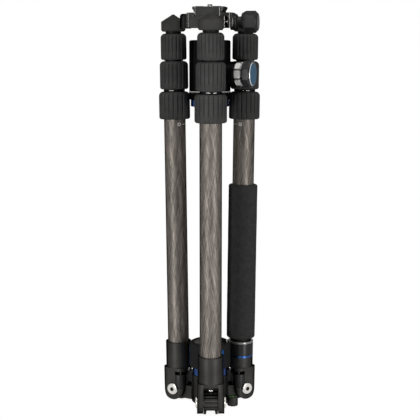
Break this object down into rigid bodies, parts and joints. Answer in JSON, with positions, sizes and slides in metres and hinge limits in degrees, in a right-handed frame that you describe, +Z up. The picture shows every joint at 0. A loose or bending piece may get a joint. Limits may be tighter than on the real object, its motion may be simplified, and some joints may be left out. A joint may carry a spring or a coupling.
{
  "type": "travel tripod",
  "caption": "Folding travel tripod with telescopic carbon legs, twist locks, centre column and a ball head with a quick release clamp.",
  "frame": {"origin": "on the column axis, at the level of the flat lug bottoms that the folded tripod stands on", "axes": "+Z up the column towards the ball head; the front leg lies in the -Y direction"},
  "size_m": [0.131, 0.1187, 0.5185],
  "materials": {
    "casting": "satin black casting",
    "lock_rubber": "matt charcoal rubber",
    "carbon": "woven carbon tube",
    "blue_anodised": "anodised",
    "polished": "polished",
    "gloss": "gloss black",
    "foam": "closed-cell foam",
    "vial": "green vial"
  },
  "bodies": {
    "base": {"spider": "casting", "level_cup": "casting", "level_vial": "vial", "column_bush": "gloss", "seat_ring": "blue_anodised"},
    "column_lock": {"column_lock_sleeve": "blue_anodised", "column_lock_grip": "lock_rubber"},
    "column": {"column_tube": "carbon", "column_plate": "blue_anodised", "column_cap": "casting", "pan_base": "casting"},
    "hook": {"column_hook": "polished"},
    "head": {"head_housing": "casting"},
    "pan_lock": {"pan_lock_knob": "lock_rubber"},
    "ball_lock": {"ball_lock_hub": "polished", "ball_lock_knob": "lock_rubber", "ball_lock_cap": "blue_anodised"},
    "ball": {"ball": "polished"},
    "clamp": {"clamp_body": "casting"},
    "jaw": {"clamp_jaw": "casting", "clamp_rods": "polished"},
    "clamp_knob": {"clamp_knob": "lock_rubber"},
    "plate": {"quick_release_plate": "casting"},
    "screw": {"camera_screw": "polished"},
    "front_leg": {"front_yoke": "casting", "front_tube_1": "carbon", "front_pivot_bolt": "polished"},
    "front_latch": {"front_angle_lock": "gloss"},
    "front_twist_1": {"front_lock_1": "lock_rubber"},
    "front_section_2": {"front_tube_2": "carbon"},
    "front_twist_2": {"front_lock_2": "lock_rubber"},
    "front_section_3": {"front_tube_3": "carbon"},
    "front_twist_3": {"front_lock_3": "lock_rubber"},
    "front_section_4": {"front_tube_4": "carbon", "front_foot": "lock_rubber"},
    "right_leg": {"right_yoke": "casting", "right_tube_1": "carbon", "right_pivot_bolt": "polished", "foam_grip": "foam", "grip_coupling": "casting", "grip_ring": "blue_anodised"},
    "right_latch": {"right_angle_lock": "gloss"},
    "right_twist_1": {"right_lock_1": "lock_rubber"},
    "right_section_2": {"right_tube_2": "carbon"},
    "right_twist_2": {"right_lock_2": "lock_rubber"},
    "right_section_3": {"right_tube_3": "carbon"},
    "right_twist_3": {"right_lock_3": "lock_rubber"},
    "right_section_4": {"right_tube_4": "carbon", "right_foot": "lock_rubber"},
    "left_leg": {"left_yoke": "casting", "left_tube_1": "carbon", "left_pivot_bolt": "polished"},
    "left_latch": {"left_angle_lock": "gloss"},
    "left_twist_1": {"left_lock_1": "lock_rubber"},
    "left_section_2": {"left_tube_2": "carbon"},
    "left_twist_2": {"left_lock_2": "lock_rubber"},
    "left_section_3": {"left_tube_3": "carbon"},
    "left_twist_3": {"left_lock_3": "lock_rubber"},
    "left_section_4": {"left_tube_4": "carbon", "left_foot": "lock_rubber"}
  },
  "joints": [
    {"name": "column_lock_turn", "type": "hinge", "parent": "base", "child": "column_lock", "pos_m": [0, 0, 0.066], "axis": [0, 0, 1], "range_deg": [0, 90]},
    {"name": "column_slide", "type": "slide", "parent": "base", "child": "column", "axis": [0, 0, -1], "range_m": [0, 0.3]},
    {"name": "hook_pull", "type": "slide", "parent": "column", "child": "hook", "axis": [0, 0, -1], "range_m": [0, 0.012], "stiffness_N_per_m": 150, "springref_m": -0.003},
    {"name": "head_pan", "type": "hinge", "parent": "column", "child": "head", "pos_m": [0, 0, 0.4105], "axis": [0, 0, 1], "range_deg": [-24, 5]},
    {"name": "pan_lock_turn", "type": "hinge", "parent": "head", "child": "pan_lock", "pos_m": [-0.0049, 0.0296, 0.419], "axis": [-0.1633, 0.9866, 0], "range_deg": [0, 180]},
    {"name": "ball_lock_turn", "type": "hinge", "parent": "head", "child": "ball_lock", "pos_m": [0.03744, -0.01407, 0.4315], "axis": [0.9361, -0.3518, 0], "range_deg": [0, 270]},
    {"name": "ball_tilt", "type": "hinge", "parent": "head", "child": "ball", "pos_m": [0, 0, 0.4612], "axis": [-0.3518, -0.9361, 0], "range_deg": [-4, 4]},
    {"name": "ball_spin", "type": "hinge", "parent": "ball", "child": "clamp", "pos_m": [0, 0, 0.4861], "axis": [0, 0, 1], "range_deg": [-4, 6]},
    {"name": "jaw_slide", "type": "slide", "parent": "clamp", "child": "jaw", "axis": [0.9763, -0.2164, 0], "range_m": [0, 0.005]},
    {"name": "clamp_knob_turn", "type": "hinge", "parent": "jaw", "child": "clamp_knob", "pos_m": [0.04881, -0.01082, 0.49613], "axis": [0.9763, -0.2164, 0], "range_deg": [0, 1441]},
    {"name": "plate_slide", "type": "slide", "parent": "clamp", "child": "plate", "axis": [0.2164, 0.9763, 0], "range_m": [-0.008, 0.008]},
    {"name": "camera_screw_turn", "type": "hinge", "parent": "plate", "child": "screw", "pos_m": [0, 0, 0.51506], "axis": [0, 0, 1], "continuous": true},
    {"name": "front_leg_fold", "type": "hinge", "parent": "base", "child": "front_leg", "pos_m": [0, -0.04715, 0.0147], "axis": [1, 0, 0], "range_deg": [0, 155]},
    {"name": "front_latch_slide", "type": "slide", "parent": "front_leg", "child": "front_latch", "axis": [0, -0.0138, 0.9999], "range_m": [0, 0.004], "stiffness_N_per_m": 400, "springref_m": -0.002},
    {"name": "front_lock_1_turn", "type": "hinge", "parent": "front_leg", "child": "front_twist_1", "pos_m": [0, -0.05233, 0.39071], "axis": [0, -0.0138, 0.9999], "range_deg": [0, 90]},
    {"name": "front_section_2_slide", "type": "slide", "parent": "front_leg", "child": "front_section_2", "axis": [0, -0.0138, 0.9999], "range_m": [0, 0.275]},
    {"name": "front_lock_2_turn", "type": "hinge", "parent": "front_section_2", "child": "front_twist_2", "pos_m": [0, -0.05287, 0.42946], "axis": [0, -0.0138, 0.9999], "range_deg": [0, 90]},
    {"name": "front_section_3_slide", "type": "slide", "parent": "front_section_2", "child": "front_section_3", "axis": [0, -0.0138, 0.9999], "range_m": [0, 0.305]},
    {"name": "front_lock_3_turn", "type": "hinge", "parent": "front_section_3", "child": "front_twist_3", "pos_m": [0, -0.05337, 0.46571], "axis": [0, -0.0138, 0.9999], "range_deg": [0, 90]},
    {"name": "front_section_4_slide", "type": "slide", "parent": "front_section_3", "child": "front_section_4", "axis": [0, -0.0138, 0.9999], "range_m": [0, 0.335]},
    {"name": "right_leg_fold", "type": "hinge", "parent": "base", "child": "right_leg", "pos_m": [0.04083, 0.02357, 0.0147], "axis": [-0.5, 0.866, 0], "range_deg": [0, 155]},
    {"name": "right_latch_slide", "type": "slide", "parent": "right_leg", "child": "right_latch", "axis": [0.0119, 0.0069, 0.9999], "range_m": [0, 0.004], "stiffness_N_per_m": 400, "springref_m": -0.002},
    {"name": "right_lock_1_turn", "type": "hinge", "parent": "right_leg", "child": "right_twist_1", "pos_m": [0.04532, 0.02617, 0.39071], "axis": [0.0119, 0.0069, 0.9999], "range_deg": [0, 90]},
    {"name": "right_section_2_slide", "type": "slide", "parent": "right_leg", "child": "right_section_2", "axis": [0.0119, 0.0069, 0.9999], "range_m": [0, 0.275]},
    {"name": "right_lock_2_turn", "type": "hinge", "parent": "right_section_2", "child": "right_twist_2", "pos_m": [0.04579, 0.02643, 0.42946], "axis": [0.0119, 0.0069, 0.9999], "range_deg": [0, 90]},
    {"name": "right_section_3_slide", "type": "slide", "parent": "right_section_2", "child": "right_section_3", "axis": [0.0119, 0.0069, 0.9999], "range_m": [0, 0.305]},
    {"name": "right_lock_3_turn", "type": "hinge", "parent": "right_section_3", "child": "right_twist_3", "pos_m": [0.04622, 0.02668, 0.46571], "axis": [0.0119, 0.0069, 0.9999], "range_deg": [0, 90]},
    {"name": "right_section_4_slide", "type": "slide", "parent": "right_section_3", "child": "right_section_4", "axis": [0.0119, 0.0069, 0.9999], "range_m": [0, 0.335]},
    {"name": "left_leg_fold", "type": "hinge", "parent": "base", "child": "left_leg", "pos_m": [-0.04083, 0.02357, 0.0147], "axis": [-0.5, -0.866, 0], "range_deg": [0, 155]},
    {"name": "left_latch_slide", "type": "slide", "parent": "left_leg", "child": "left_latch", "axis": [-0.0119, 0.0069, 0.9999], "range_m": [0, 0.004], "stiffness_N_per_m": 400, "springref_m": -0.002},
    {"name": "left_lock_1_turn", "type": "hinge", "parent": "left_leg", "child": "left_twist_1", "pos_m": [-0.04532, 0.02617, 0.39071], "axis": [-0.0119, 0.0069, 0.9999], "range_deg": [0, 90]},
    {"name": "left_section_2_slide", "type": "slide", "parent": "left_leg", "child": "left_section_2", "axis": [-0.0119, 0.0069, 0.9999], "range_m": [0, 0.275]},
    {"name": "left_lock_2_turn", "type": "hinge", "parent": "left_section_2", "child": "left_twist_2", "pos_m": [-0.04579, 0.02643, 0.42946], "axis": [-0.0119, 0.0069, 0.9999], "range_deg": [0, 90]},
    {"name": "left_section_3_slide", "type": "slide", "parent": "left_section_2", "child": "left_section_3", "axis": [-0.0119, 0.0069, 0.9999], "range_m": [0, 0.305]},
    {"name": "left_lock_3_turn", "type": "hinge", "parent": "left_section_3", "child": "left_twist_3", "pos_m": [-0.04622, 0.02668, 0.46571], "axis": [-0.0119, 0.0069, 0.9999], "range_deg": [0, 90]},
    {"name": "left_section_4_slide", "type": "slide", "parent": "left_section_3", "child": "left_section_4", "axis": [-0.0119, 0.0069, 0.9999], "range_m": [0, 0.335]}
  ],
  "couplings": [
    {"joint": "clamp_knob_turn", "follows": "jaw_slide", "rad_per_m": 5026.5}
  ]
}
